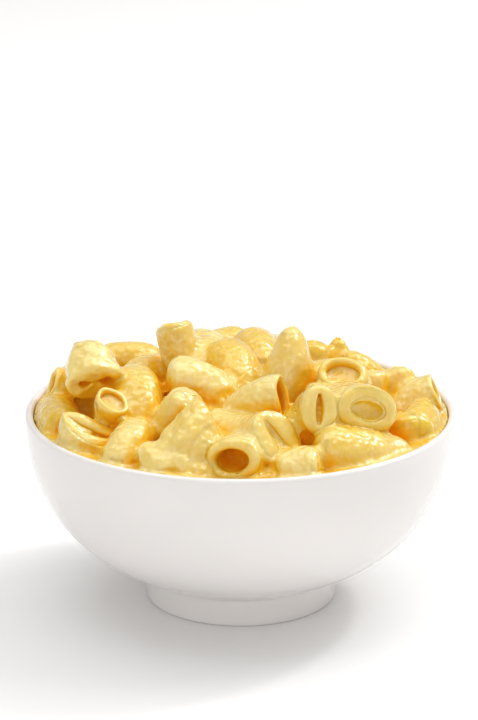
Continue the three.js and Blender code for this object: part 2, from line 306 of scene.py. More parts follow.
def glazed_porcelain():
    """White porcelain under a clear fired glaze: cool white, with a hard gloss and a faint ripple."""
    material, tree, place = new_material("glazed_porcelain")
    glaze = settings("bowl_settings").glaze
    # the glaze thickens over some 20 mm, and the fired surface ripples over some 12 mm
    thick = add(tree, "TexNoise", {"Vector": place, "Scale": 50, "Detail": 2})
    ripple = add(tree, "TexNoise", {"Vector": place, "Scale": 85, "Detail": 1})
    bump = add(tree, "Bump", {"Height": ripple.outputs["Fac"], "Strength": 0.15, "Distance": 0.0003})
    surface = add(tree, "BsdfPrincipled", {
        "Base Color": ramp(tree, thick.outputs["Fac"], [(0.3, glaze), (0.7, "#EFEBE8")]),
        "Roughness": 0.16,
        "IOR": 1.5,
        "Normal": bump.outputs["Normal"],
        "Coat Weight": 0.25,
        "Coat Roughness": 0.08,
    })
    add(tree, "OutputMaterial", {"Surface": surface.outputs["BSDF"]})
    return material


def marked(tree, name, low, high):
    """A mark on the mesh, as a share that eases from 0 at low to 1 at high."""
    found = add(tree, "Attribute", attribute_name=name)
    share = add(tree, "MapRange", {
        "Value": found.outputs["Fac"], "From Min": low, "From Max": high,
    }, interpolation_type="SMOOTHSTEP")
    return share.outputs["Result"]


def mixed(tree, share, first, second):
    """From one colour to another by a share."""
    return in_use(add(tree, "Mix", {"Factor": share, "A": first, "B": second}, data_type="RGBA").outputs)


def food_colour(tree, place, curds):
    """Pale to golden from elbow to elbow and over some 7 mm, the golden partly painted shade and light,
    speckled with pale specks some 1 mm across that are partly curds and partly painted glints,
    and painted amber shade where the food shuts itself in."""
    macaroni, sauce = settings("macaroni_settings"), settings("sauce_settings")
    patch = add(tree, "TexNoise", {"Vector": place, "Scale": 140, "Detail": 3, "Roughness": 0.6})
    found = add(tree, "Attribute", attribute_name="gold")
    share = add(tree, "Math", {0: found.outputs["Fac"], 1: patch.outputs["Fac"]}, operation="ADD")
    golden = add(tree, "MapRange", {"Value": share.outputs["Value"], "From Min": 0.4, "From Max": 1.5})
    base = mixed(tree, golden.outputs["Result"], linear(macaroni.pasta), linear(macaroni.pasta_golden_and_shade))
    # pale specks some 1 mm across: partly curds, partly painted glints
    grains = add(tree, "TexNoise", {"Vector": place, "Scale": 900, "Detail": 0.8})
    pale = add(tree, "MapRange", {
        "Value": grains.outputs["Fac"], "From Min": 0.52, "From Max": 0.72, "To Max": curds,
    })
    curdled = mixed(tree, pale.outputs["Result"], base, linear(sauce.curd_and_glint))
    # painted shade: the sauce colour, then the deeper amber, where the food shuts itself in
    crease_shaded = mixed(tree, marked(tree, "shut_in", 0.05, 0.34), curdled, linear(sauce.sauce))
    return mixed(tree, marked(tree, "shut_in", 0.3, 0.7), crease_shaded, linear(sauce.painted_crease_shade))


def wet_surface(tree, place, colour_here, grain):
    """A wet skin over translucent food: it swells over some 3 mm, with relief of some 1.5 mm across
    under a film that gathers round it. Where the food shuts itself in, the film's gloss and the skin's
    shine are turned down, a painted shade on the reflection of a film that has only food to mirror."""
    curd_and_glint = add(tree, "TexNoise", {"Vector": place, "Scale": 660, "Detail": 0.3})
    swell = add(tree, "TexNoise", {"Vector": place, "Scale": 300, "Detail": 0})
    low = add(tree, "Bump", {"Height": swell.outputs["Fac"], "Strength": 0.5, "Distance": grain})
    skin = add(tree, "Bump", {
        "Height": curd_and_glint.outputs["Fac"], "Normal": low.outputs["Normal"],
        "Strength": 0.6, "Distance": grain * 0.65,
    })
    film = add(tree, "Bump", {
        "Height": curd_and_glint.outputs["Fac"], "Normal": low.outputs["Normal"],
        "Strength": 1.0, "Distance": grain * 0.95,
    })
    # painted shade on the gloss: coat and shine fade where the food shuts itself in
    found = add(tree, "Attribute", attribute_name="shut_in")
    gloss = add(tree, "MapRange", {
        "Value": found.outputs["Fac"], "From Min": 0.15, "From Max": 0.55, "To Min": 1.0, "To Max": 0.1,
    })
    level = add(tree, "Math", {0: gloss.outputs["Result"], 1: 0.5}, operation="MULTIPLY")
    surface = add(tree, "BsdfPrincipled", {
        "Base Color": colour_here,
        "Roughness": 0.36,
        "IOR": 1.38,
        "Specular IOR Level": level.outputs["Value"],
        "Subsurface Weight": 0.5,
        "Subsurface Radius": (0.0017, 0.0017, 0.0006),
        "Subsurface Scale": 1.0,
        "Coat Weight": gloss.outputs["Result"],
        "Coat Roughness": 0.05,
        "Coat IOR": 1.55,
        "Coat Normal": film.outputs["Normal"],
        "Normal": skin.outputs["Normal"],
    })
    add(tree, "OutputMaterial", {"Surface": surface.outputs["BSDF"]})


def cooked_pasta():
    """Boiled durum wheat pasta: pale, wet and smooth, and golden on some elbows and in patches,
    the golden partly painted shade and painted light coming through it.
    """
    material, tree, place = new_material("cooked_durum_pasta")
    wet_surface(tree, place, food_colour(tree, place, 0.05), 0.0006)
    return material


def cheese_sauce():
    """Melted cheese and milk: pale and specked where it's thin, the specks partly curds and partly painted
    glints, golden where it has pooled, and painted amber shade deep in the creases.
    """
    material, tree, place = new_material("cheese_sauce")
    sauce = settings("sauce_settings")
    thin = food_colour(tree, place, 0.24)
    thick = mixed(tree, marked(tree, "pooled", 0.1, 1.9), thin, linear(sauce.sauce))
    # painted shade: deep amber in the creases, where the food shuts itself in
    deep = mixed(tree, marked(tree, "shut_in", 0.42, 0.85), thick, linear(sauce.painted_crease_shade))
    wet_surface(tree, place, deep, 0.0007)
    return material


def studio_paper():
    """Seamless background paper: matte white with a faint tooth."""
    material, tree, place = new_material("studio_paper")
    tooth = add(tree, "TexNoise", {"Vector": place, "Scale": 900, "Detail": 2})
    bump = add(tree, "Bump", {"Height": tooth.outputs["Fac"], "Strength": 0.05, "Distance": 0.0002})
    surface = add(tree, "BsdfPrincipled", {
        "Base Color": linear(settings("stage_settings").floor),
        "Roughness": 0.7,
        "Normal": bump.outputs["Normal"],
    })
    add(tree, "OutputMaterial", {"Surface": surface.outputs["BSDF"]})
    return material


# ---------------------------------------------------------------- bowl

def wall_curve(start, pull_out, pull_up, end, divisions):
    """Points of a bowl's wall from foot to rim, each (radius, height)."""
    corners = [Vector(p) for p in (start, pull_out, pull_up, end)]
    points = []
    for i in range(divisions + 1):
        t = i / divisions
        shares = [(1 - t) ** 3, 3 * t * (1 - t) ** 2, 3 * t * t * (1 - t), t ** 3]
        points.append(tuple(sum((c * s for c, s in zip(corners, shares)), Vector((0, 0)))))
    return points


def rim():
    """The bowl's outside radius, its height and the thickness of its lip."""
    bowl = settings("bowl_settings")
    return bowl.rim_radius / MM, bowl.height / MM, bowl.lip / MM


def outer_wall(divisions):
    radius, height, lip = rim()
    return wall_curve(
        (FOOT_RADIUS - 0.3, FOOT_HEIGHT), (0.745 * radius, FOOT_HEIGHT + 6),
        (radius, 0.52 * height), (radius, height - lip / 2), divisions,
    )


def inner_wall(divisions, inset=0.0):
    radius, height, lip = rim()
    inside = radius - lip
    return wall_curve(
        (0, FLOOR_HEIGHT + inset), (0.67 * radius - inset, FLOOR_HEIGHT + inset),
        (inside - 0.4 - inset, 0.5 * height), (inside - inset, height - lip / 2), divisions,
    )


def bowl_profile():
    radius, height, lip = rim()
    recess = FOOT_RADIUS - FOOT_WALL
    points = [(0.6, RECESS_DEPTH), (recess * 0.5, RECESS_DEPTH), (recess - 1.6, RECESS_DEPTH)]
    points += rounded(
        (recess - 1.4, RECESS_DEPTH), (recess - 0.1, RECESS_DEPTH - 0.1), (recess, RECESS_DEPTH - 1.4),
    )
    points += rounded((recess + 0.42, 0.5), (recess + 0.5, 0), (recess + 1, 0))
    points += rounded((FOOT_RADIUS - 0.8, 0), (FOOT_RADIUS, 0), (FOOT_RADIUS, 0.9))
    points += [(FOOT_RADIUS - 0.1 * i / 3, 0.9 + (FOOT_HEIGHT - 1.9) * i / 3) for i in range(1, 4)]
    wall = outer_wall(30)
    points += rounded((FOOT_RADIUS - 0.2, FOOT_HEIGHT - 0.7), (FOOT_RADIUS - 0.25, FOOT_HEIGHT), wall[1])
    points += wall[2:]
    half = lip / 2
    for i in range(1, 12):
        angle = math.pi * i / 12
        points.append((radius - half + half * math.cos(angle), height - half + half * math.sin(angle)))
    return points + [p for p in reversed(inner_wall(30)) if p[0] > 0.5]


def rounded(start, corner, end, divisions=5):
    """A corner eased from one point to another."""
    points = []
    for i in range(divisions + 1):
        t = i / divisions
        shares = [(1 - t) ** 2, 2 * t * (1 - t), t * t]
        points.append(tuple(
            sum(share * value for share, value in zip(shares, values)) for values in zip(start, corner, end)
        ))
    return points


class BowlAdd(bpy.types.Operator):
    """Turns the footed porcelain bowl"""

    bl_idname = "macaroni.bowl_add"
    bl_label = "Porcelain bowl"

    def execute(self, context):
        bowl = turned("porcelain_bowl", bowl_profile(), settings("bowl_settings").sides)
        take(bowl)
        bpy.ops.object.shade_smooth_by_angle(angle=math.radians(50))
        bowl.data.materials.append(glazed_porcelain())
        put_in_frame(bowl, "bowl")
        return {"FINISHED"}


# ---------------------------------------------------------------- where the elbows lie

def placed(x, y, up, heading, pitch, roll, **more):
    """An elbow by its middle: x to the right, y to the back and up above the rim, in millimetres.
    Towards its mouth it is pinched flat, closed to a slit, nipped in two, bowed or tapered; dome rounds
    its ends, rough is how lumpy it is, gold how golden, and a coated mouth has sauce over its edge."""
    elbow = dict(
        x=x, y=y, up=up, heading=heading, pitch=pitch, roll=roll,
        curl=ELBOW_CURL, length=ELBOW_LENGTH, size=1, pinch=0.08, pinch_turn=0,
        close=0, nip=0, bow=0, taper=0, dome=END_DOME, wall=WALL, bore=BORE_DEPTH,
        rough=1, gold=None, coated=False, held=0, open=False,
    )
    return {**elbow, **more}


def mouth(x, y, up, heading, pitch, roll, **more):
    """An elbow by the middle of its open mouth."""
    return placed(x, y, up, heading, pitch, roll, **{"held": 0.5, "open": True, "dome": 0, **more})


FRONT_ELBOWS = {
    "ring": mouth(
        -2.4, -48, 2.1, -100, 16, 113,
        size=1.06, length=22, wall=2.9, gold=0.4, pinch_turn=70,
    ),
    "slant_slit": mouth(
        10, -41, 5.4, -49, 35, -157,
        size=1.25, pinch=0.1, close=0.6, wall=2.6, length=26, curl=55, bore=2, gold=0.45, pinch_turn=85,
    ),
    "smile_slit": mouth(
        -38.3, -28, 3.3, -53, 57, 90,
        size=1.14, pinch=0.35, close=0.27, bow=1.5, length=20, bore=3.5, gold=0.4, pinch_turn=42,
    ),
    "upturned": mouth(-33, -22, 9.5, -64, 61, 101, size=0.76, wall=1.5, length=20, bore=1.2, gold=0.3),
    "left_face": mouth(
        -37.8, -13, 11.8, -79, -23, -171,
        size=0.98, pinch=0.1, nip=0.85, wall=1.7, length=8, curl=10,
        bore=1.5, rough=3, gold=0.3, coated=True, pinch_turn=-3,
    ),
    "left_bend": placed(-26.3, -15.5, 5.6, -78, -40, 0, curl=105, size=0.97, length=26, gold=0.8),
    "left_front": placed(-28.5, -33, 1.2, 66, 20, 0, curl=95, size=0.82, length=18, gold=0.4),
    "behind_point": placed(-16.2, -25, 5.9, -2, 63, -36, length=15, size=0.84, curl=40, rough=2, gold=0.4),
    "point": mouth(
        -10.6, -38, 14.3, 54, 80, 126,
        open=False, size=1.12, taper=0.66, dome=0.4, rough=4, length=22, curl=20, gold=0.55,
    ),
    "lumpy": placed(-17.4, -42.5, -1.3, -5, -3, -19, size=1, rough=4, length=15, curl=60, gold=0.35),
    "standing": mouth(
        -18.2, 12, 19.6, 143, 70, -125,
        open=False, dome=0, taper=0.06, size=0.9, length=26, curl=15, rough=1.5, gold=0.6,
    ),
    "back_left": placed(-29.8, 27, 4.8, -1, -3, -18, size=0.85, length=16, curl=50, gold=0.8),
    "back_left_low": placed(-25, 15, 3.5, 60, 0, 0, length=20, gold=0.7),
    "middle": placed(-10.7, -9, 9.1, -9, -22, -20, length=18, curl=60, rough=2, gold=0.2),
    "knee": placed(-1, 0, 8, -75, -35, 0, curl=100, size=1.06, length=26, gold=1),
    "behind_knee": placed(-11.5, 8, 8, -110, -30, 0, length=22, curl=90, gold=0.5),
    "back_middle": placed(4.7, 24, 7, -80, -12, 0, curl=60, length=20, size=0.95, gold=0.9),
    "tall": mouth(
        13.2, 2, 21.8, 95, 77, 86,
        open=False, taper=0.45, dome=0.35, size=1.12, length=30, curl=20, gold=0.5,
    ),
    "side_mouth": mouth(
        11, -24, 10.7, -17, 11, -4,
        size=0.95, wall=1.8, length=22, curl=60, bore=7, gold=0.3, pinch_turn=78,
    ),
    "upright_slit": mouth(
        20, -35, 11.4, -75, 18, 3,
        size=0.92, pinch=0.12, close=0.5, length=18, curl=60, bore=1.8, gold=0.4, pinch_turn=82,
    ),
    "right_mouth": mouth(
        32.7, -30, 9.2, -64, 7, -55,
        size=1.27, pinch=0.16, wall=3.8, length=24, curl=80, bore=2, gold=0.5, pinch_turn=36,
    ),
    "upper_mouth": mouth(
        26.3, -13, 14.2, -98, 57, -3,
        size=0.97, wall=2.2, length=20, bore=1.5, rough=3, gold=0.6,
    ),
    "shell": placed(29.3, -34.5, -1, 26, -16, 60, length=24, curl=60, size=1.04, gold=0.6),
    "stub": placed(15.1, -45, -1.7, -5, 14, -20, length=12, size=0.92, curl=20, gold=0.35),
    "right_top": mouth(
        43.8, -17, 4.1, 117, 78, -61,
        open=False, dome=0.3, size=0.76, length=18, curl=20, gold=1,
    ),
    "right_low": placed(40, -30, -4, 60, 10, 0, length=12, curl=40, gold=0.7),
    "right_edge": mouth(
        52.2, 3, 3.8, 0, 23, -20,
        size=0.95, wall=1.3, length=16, curl=40, bore=5, gold=0.4,
    ),
    "right_back": mouth(
        42.2, 11, 7.9, 101, 78, -32,
        open=False, taper=0.25, dome=0.25, size=0.8, length=20, curl=20, rough=2, gold=0.6,
    ),
    "right_back_twin": mouth(
        35.7, 8, 8, 67, 78, 59,
        open=False, taper=0.25, dome=0.25, size=0.75, length=20, curl=20, rough=2, gold=0.5,
    ),
    "back_right": placed(32.6, 18, 4, -19, -31, -21, size=0.75, length=12, curl=60, gold=0.9),
    "back_point": mouth(
        26.3, 26, 11.4, 92, 83, -4,
        open=False, taper=0.6, dome=0.4, size=0.8, length=18, curl=20, gold=0.9,
    ),
    "back_right_tall": mouth(20, 22, 11.8, 15, 82, -80, open=False, dome=0.4, size=0.74, length=18, gold=1),
    "under_upper": placed(22, -17, 7, 15, -10, 0, length=11, size=0.85, curl=30, gold=0.5),
    "left_edge": mouth(
        -50.4, 4, 5.4, -178, 25, 20,
        size=0.95, wall=1.3, length=16, curl=40, bore=5, gold=0.4,
    ),
    "left_back_edge": placed(-46, 21, 0.5, 60, 10, 0, length=16, gold=0.7),
    "deep": placed(15.3, -31, 4.7, -139, 72, 26, length=12, size=0.56, curl=30, gold=1, rough=2),
    "behind_ring": placed(-8, -22, 0, 115, 10, 0, length=18, gold=0.6),
    "left_foot": placed(-47.3, -9, -1.2, -79, 0, 90, curl=22, length=18, size=0.95, gold=1),
    "right_foot": placed(46.5, -12, -1.5, 76, 0, 90, curl=22, length=18, size=0.9, gold=1),
    "under_slit": placed(9, -42, -5.5, 75, 0, 0, length=14, size=0.85, gold=0.9),
    "under_point": placed(-9.5, -42.5, -3, 65, 0, 0, length=13, size=0.85, gold=0.7),
    "left_tower": mouth(
        -40.8, -1, 18.9, 136, 75, -102,
        open=False, dome=0.05, taper=0.45, size=0.98, length=13, curl=12, rough=2.5, gold=0.3,
    ),
}


def tube_frame(elbow):
    """The way a tube runs, the way it curls to, and the way across both."""
    a, p, r = (math.radians(elbow[k]) for k in ("heading", "pitch", "roll"))
    along = Vector((math.cos(a) * math.cos(p), math.sin(a) * math.cos(p), math.sin(p)))
    down = Vector((math.cos(a) * math.sin(p), math.sin(a) * math.sin(p), -math.cos(p)))
    inward = down * math.cos(r) + along.cross(down) * math.sin(r)
    return along, inward, along.cross(inward)


def draw(number, low, high):
    """A steady draw between low and high, the same each time for the same number."""
    value = math.sin(number * 12.9898 + 4.1) * 43758.5453
    return low + (high - low) * (value - math.floor(value))


def centreline(elbow, with_mouth=True):
    """Points along the middle of an elbow, and one in front of its mouth."""
    along, inward, _ = tube_frame(elbow)
    bend = elbow["length"] / math.radians(elbow["curl"])
    shares = [-0.4, -0.2, 0, 0.2, 0.4] + ([0.6] if elbow["open"] and with_mouth else [])
    points = []
    for share in shares:
        angle = math.radians(elbow["curl"]) * (share - elbow["held"])
        points.append(
            Vector((elbow["x"], elbow["y"], elbow["up"]))
            + inward * (bend - bend * math.cos(angle)) + along * (bend * math.sin(angle))
        )
    return points


@functools.cache
def wall_points(size):
    """Points up the inner wall of a bowl of this size, kept because every vertex asks for them."""
    return inner_wall(40)


def reach_at(up):
    """How far from the axis food may reach at a height above the rim."""
    size = radius, height, _ = rim()
    for wall_radius, wall_height in wall_points(size):
        if wall_height >= height + up:
            return wall_radius - GAP
    return radius - GAP


def excess_of(elbow):
    """How far an elbow would cross the bowl's wall."""
    tube = settings("macaroni_settings").radius / MM * elbow["size"]
    return max(math.hypot(p.x, p.y) + tube - reach_at(p.z - tube / 2) for p in centreline(elbow, False))


def fitted(elbow):
    """The elbow, cut shorter where it would cross the wall by much, then moved towards the axis."""
    cut, share = elbow, 0.9
    while share > 0.5 and excess_of(cut) > MOST_MOVED:
        cut = {**elbow, "length": elbow["length"] * share, "curl": elbow["curl"] * share}
        share -= 0.1
    kept = 1 - max(0, excess_of(cut)) / math.hypot(cut["x"], cut["y"])
    return {**cut, "x": cut["x"] * kept, "y": cut["y"] * kept}


def lies_clear(line, lines, least):
    """Whether a centreline keeps the least distance from all the others."""
    return all((p - q).length > least for other in lines for p in line for q in other)


def wind_elbows(layer, others):
    """More elbows wound out from the centre, wherever none of the others lies too near."""
    lines = [centreline(elbow) for elbow in others]
    wound = []
    for i in range(layer["turns"]):
        out = layer["inner"] + (1 - layer["inner"]) * (i + 0.5) / layer["turns"]
        radius = layer["radius"] * math.sqrt(out)
        turn = GOLDEN_ANGLE * i
        angle = math.radians(turn)
        rise = layer["edge"] + (layer["crown"] - layer["edge"]) * (1 - (radius / layer["radius"]) ** 2)
        pick = layer["seed"] + i
        elbow = fitted(placed(
            radius * math.cos(angle),
            radius * math.sin(angle),
            rise + draw(pick, -1, 1),
            turn + 90 + draw(pick + 0.1, -layer["stray"], layer["stray"]),
            draw(pick + 0.2, -layer["tilt"], layer["tilt"]),
            layer["roll"] + draw(pick + 0.3, -60, 60),
            length=draw(pick + 0.4, 22, 27),
            curl=draw(pick + 0.5, 55, 90),
            size=draw(pick + 0.6, 0.92, 1.04),
        ))
        line = centreline(elbow)
        if elbow["y"] > layer["behind"] and lies_clear(line, lines, layer["clear"]):
            lines.append(line)
            wound.append(elbow)
    return wound


def all_elbows():
    elbows = [fitted(elbow) for elbow in FRONT_ELBOWS.values()]
    for layer in LAYERS:
        elbows += wind_elbows(layer, elbows)
    return elbows


# ---------------------------------------------------------------- macaroni

def straight_macaroni():
    """One straight macaroni: a ring extruded along, given its wall, and its two cut mouths eased."""
    macaroni = settings("macaroni_settings")
    step = ELBOW_LENGTH * MM / macaroni.rings
    deselect_all()
    bpy.ops.mesh.primitive_circle_add(vertices=macaroni.sides, radius=macaroni.radius, location=(0, 0, 0))
    tube = bpy.context.active_object
    tube.name = "macaroni_start"
    bpy.ops.object.mode_set(mode="EDIT")
    bpy.ops.mesh.select_all(action="SELECT")
    for _ in range(macaroni.rings):
        bpy.ops.mesh.extrude_edges_move(TRANSFORM_OT_translate={"value": (0, 0, step)})
    bpy.ops.mesh.select_all(action="SELECT")
    bpy.ops.mesh.normals_make_consistent(inside=False)
    bpy.ops.object.mode_set(mode="OBJECT")
    finish_with(tube, "SOLIDIFY", thickness=macaroni.wall, offset=-1, use_even_offset=True)
    finish_with(
        tube, "BEVEL", width=MOUTH_EASE * MM, segments=5, limit_method="ANGLE", angle_limit=math.radians(50),
    )
    return tube


def smoothstep(value, low, high):
    t = min(1, max(0, (value - low) / (high - low)))
    return t * t * (3 - 2 * t)


def elbow_shape(elbow, number):
    """A function from a place in a straight tube to its place in the heap: pinched, curled and swollen.
    It takes the direction (x, y) from the axis, how far off it, the share of the length from -0.5 to
    0.5 at the mouth, 0 on the outside to 1 in the bore, and how far to stand off the surface."""
    macaroni = settings("macaroni_settings")
    _, height, _ = rim()
    along, inward, across = tube_frame(elbow)
    curl = math.radians(elbow["curl"])
    bend = elbow["length"] / curl
    turn = math.radians(elbow["pinch_turn"])
    radius = macaroni.radius / MM * elbow["size"]
    place = Vector((elbow["x"], elbow["y"], height + elbow["up"]))
    own = Vector((7.3 * number, 3.1 * number, 5.7 * number))
    uneven = macaroni.unevenness / MM * elbow["rough"]

    def shaped(x, y, off, share, inner, stand_off=0.0):
        mouthward = smoothstep(share, 0.05, 0.5)
        pinch = elbow["pinch"] * mouthward + 0.04
        # an end that isn't a mouth is rounded over, and its bore shut
        over = min(1, max(0, abs(share) - 0.32) / 0.18)
        rounding = 1 - (1 - math.sqrt(1 - over * over * 0.96)) * 2 * elbow["dome"]
        kept = (1 - elbow["taper"] * mouthward) * rounding
        if elbow["dome"]:
            kept *= 1 - 0.98 * inner * over
        nipped = elbow["nip"] * x ** 4
        shut = 1 - max(elbow["close"], nipped) * mouthward * inner
        wide = y * (off + radius * pinch * WIDENING) * kept
        bow = elbow["bow"] * mouthward * (wide / radius) ** 2
        narrow = x * (off * shut - radius * pinch) * kept + bow
        section = Vector((
            narrow * math.cos(turn) - wide * math.sin(turn), narrow * math.sin(turn) + wide * math.cos(turn),
        ))
        way = section.normalized()
        at = Vector((section.x, section.y, share * elbow["length"]))
        swell = noise.noise(at / SWELL_LENGTH + own) + 0.45 * noise.noise(at / RIPPLE_LENGTH - own)
        u, v = section + way * (swell * uneven * (1 - 0.6 * inner) + stand_off)
        angle = curl * (share - elbow["held"])
        reach = bend - u
        curled = inward * (bend - reach * math.cos(angle)) + along * (reach * math.sin(angle))
        return place + curled + across * v

    return shaped


def lay_elbow(piece, elbow, number):
    """Shapes a straight macaroni into its place in the heap."""
    macaroni = settings("macaroni_settings")
    radius, wall = macaroni.radius / MM, macaroni.wall / MM
    shaped = elbow_shape(elbow, number)
    half = ELBOW_LENGTH / 2
    squeeze = (elbow["length"] / 2 - 1) / (half - 1)
    for vertex in piece.data.vertices:
        x, y, z = vertex.co / MM
        near_end = max(0, abs(z - half) - (half - 1))
        along = math.copysign((abs(z - half) - near_end) * squeeze + near_end, z - half)
        off = math.hypot(x, y)
        inner = min(1, max(0, (radius - off) / wall))
        thinned = radius * (elbow["size"] - 1) + (wall - elbow["wall"]) * inner
        wander = MOUTH_WANDER * noise.noise(Vector((x, y, number * 5)) / 6)
        along += wander * smoothstep(along / elbow["length"], 0.3, 0.5)
        point = shaped(x / off, y / off, off + thinned, along / elbow["length"], inner)
        vertex.co = kept_inside(point) * MM


def mark(piece, name, values):
    """Writes one number for each vertex of a piece."""
    piece.data.attributes.new(name, "FLOAT", "POINT").data.foreach_set("value", values)


def gold_of(elbow, number):
    """How golden an elbow is: 0 pale, 1 deep gold. Drawn at random for the wound elbows; for the listed
    elbows it is set one by one and is partly painted shade and painted light through the pasta.
    """
    return draw(number + 0.7, 0.2, 0.9) if elbow["gold"] is None else elbow["gold"]


def kept_inside(point):
    """A point of the food, moved in where it would cross the bowl's wall or lip."""
    radius, height, lip = rim()
    off = math.hypot(point.x, point.y)
    up = point.z - height
    most = reach_at(up) if up < GAP else radius - LIP_EASE
    if GAP > up > -LIP_DEPTH and off > most:
        most = radius - lip - GAP
    if off <= most:
        return point
    return Vector((point.x * most / off, point.y * most / off, point.z))


class ElbowsAdd(bpy.types.Operator):
    """Lays the cooked elbow macaroni in the bowl"""

    bl_idname = "macaroni.elbows_add"
    bl_label = "Elbow macaroni"

    def execute(self, context):
        start = straight_macaroni()
        laid = []
        for number, elbow in enumerate(all_elbows()):
            piece = copied(start)
            lay_elbow(piece, elbow, number)
            mark(piece, "gold", [gold_of(elbow, number)] * len(piece.data.vertices))
            mark(piece, "rough", [elbow["rough"]] * len(piece.data.vertices))
            laid.append(piece)
        bpy.data.objects.remove(start)
        heap = joined(laid, "elbow_macaroni")
        bpy.ops.object.transform_apply(location=True, rotation=True, scale=True)
        take(heap)
        bpy.ops.object.shade_smooth()
        heap.data.materials.append(cooked_pasta())
        put_in_frame(heap, "macaroni")
        return {"FINISHED"}


# ---------------------------------------------------------------- sauce

def core_profile():
    """What the bowl holds under the elbows that show."""
    _, height, _ = rim()
    side = [p for p in inner_wall(24, GAP) if p[0] > 0.5 and p[1] < height + CORE_TOP[0][1]]
    return side + [(max(0.6, radius), height + up) for radius, up in CORE_TOP]


def coat_profile(has_bore):
    """A straight macaroni full of sauce, with a blind bore behind an open mouth."""
    macaroni = settings("macaroni_settings")
    radius, wall, length = macaroni.radius / MM, macaroni.wall / MM, ELBOW_LENGTH
    end = [(1.5, 0), (radius - 1.7, 0), (radius - 0.7, 0.35), (radius - 0.2, 0.8), (radius, 1.4)]
    points = end + [(radius, length * i / 12) for i in range(1, 12)]
    if not has_bore:
        return points + [(off, length - back) for off, back in reversed(end)]
    points += [(radius, length - back) for back in (1.8, 1.3, 0.9, 0.5, 0.2)]
    points += [(radius - 0.1, length), (radius - wall / 2, length), (radius - wall, length)]
    points += [(radius - wall, length - BORE_DEPTH * i / 4) for i in range(1, 4)]
    return points + [(radius - wall - 1, length - BORE_DEPTH), (1.5, length - BORE_DEPTH)]


def coat_along(elbow, z, in_bore):
    """Where a height in the straight coat comes along the elbow, from its middle."""
    filling = settings("sauce_settings").filling / MM
    length, from_edge = elbow["length"], ELBOW_LENGTH - z
    if in_bore and from_edge > AT_EDGE:
        return length / 2 - from_edge / BORE_DEPTH * elbow["bore"]
    along = (z / ELBOW_LENGTH - 0.5) * length
    if z < 1:
        return along - (filling - END_COAT)
    if from_edge < 1 and not elbow["open"]:
        return along + filling - END_COAT
    if from_edge < AT_EDGE:
        return along + (filling + MOUTH_BACK if elbow["coated"] else -MOUTH_BACK)
    return along


def lay_coat(piece, elbow, number):
    """Shapes a straight coat into its place, stood off the pasta by as much as the sauce fills creases."""
    macaroni = settings("macaroni_settings")
    radius, wall = macaroni.radius / MM, macaroni.wall / MM
    filling = settings("sauce_settings").filling / MM
    shaped = elbow_shape(elbow, number)
    length = elbow["length"]
    for vertex in piece.data.vertices:
        x, y, z = vertex.co / MM
        off = math.hypot(x, y)
        in_bore = elbow["open"] and z > 1 and off < radius - wall * 0.7
        along = coat_along(elbow, z, in_bore)
        grown = radius * (elbow["size"] - 1) * min(1, off / radius)
        if in_bore:
            stand_off = -filling if elbow["coated"] else 0
            grown += wall - elbow["wall"] if off > 2 else 0
        else:
            stand_off = filling * min(1, off / 4)
        if elbow["open"] and not elbow["coated"]:
            run_out = max(0, 1 - (length / 2 - along) / (filling + BARE_RUN_OUT))
            stand_off *= math.sqrt(1 - run_out * run_out)
        point = shaped(x / off, y / off, off + grown, along / length, 1 if in_bore else 0, stand_off)
        vertex.co = kept_inside(point) * MM


def cut_level(piece, height, keep_above):
    """Cuts a piece level at a height and closes the cut."""
    take(piece)
    bpy.ops.object.mode_set(mode="EDIT")
    bpy.ops.mesh.select_all(action="SELECT")
    bpy.ops.mesh.bisect(
        plane_co=(0, 0, height * MM), plane_no=(0, 0, 1), use_fill=True,
        clear_inner=keep_above, clear_outer=not keep_above,
    )
    bpy.ops.object.mode_set(mode="OBJECT")


def open_mouths():
    """Each mouth that the sauce leaves bare: its middle, the way that it faces and how far it reaches."""
    radius = settings("macaroni_settings").radius / MM
    quarters = [math.pi / 2 * i for i in range(4)]
    found = []
    for number, elbow in enumerate(all_elbows()):
        if elbow["open"] and not elbow["coated"]:
            shaped = elbow_shape(elbow, number)
            middle, behind = (
                sum((shaped(math.cos(q), math.sin(q), radius, share, 0) for q in quarters), Vector()) / 4
                for share in (0.5, 0.4)
            )
            found.append((middle, (middle - behind).normalized(), radius * elbow["size"] * MOUTH_REACH))
    return found


def from_mouth(point, mouths):
    """How far a point lies from the plane of the nearest bare mouth, as far as the coat is thinned."""
    nearest = THIN_TO
    for middle, outward, reach in mouths:
        off = point - middle
        if off.length < reach + MOUTH_ROUND:
            nearest = min(nearest, abs(off.dot(outward)))
    return nearest


def pasta_under(sauce, heap):
    """For each vertex of the sauce: how far the pasta is, and how golden and how rough it is there."""
    pasta = BVHTree.FromObject(heap, bpy.context.evaluated_depsgraph_get())
    golds, roughs = heap.data.attributes["gold"].data, heap.data.attributes["rough"].data
    found = []
    for vertex in sauce.data.vertices:
        _, _, face, distance = pasta.find_nearest(vertex.co)
        corner = heap.data.polygons[face].vertices[0]
        found.append((distance / MM, golds[corner].value, roughs[corner].value))
    return found


def clear_way(tree, start, way, reach):
    """How far a way is clear before it meets the outside of a piece."""
    _, normal, _, distance = tree.ray_cast(start, way, reach)
    return reach if normal is None or normal.dot(way) > 0 else distance


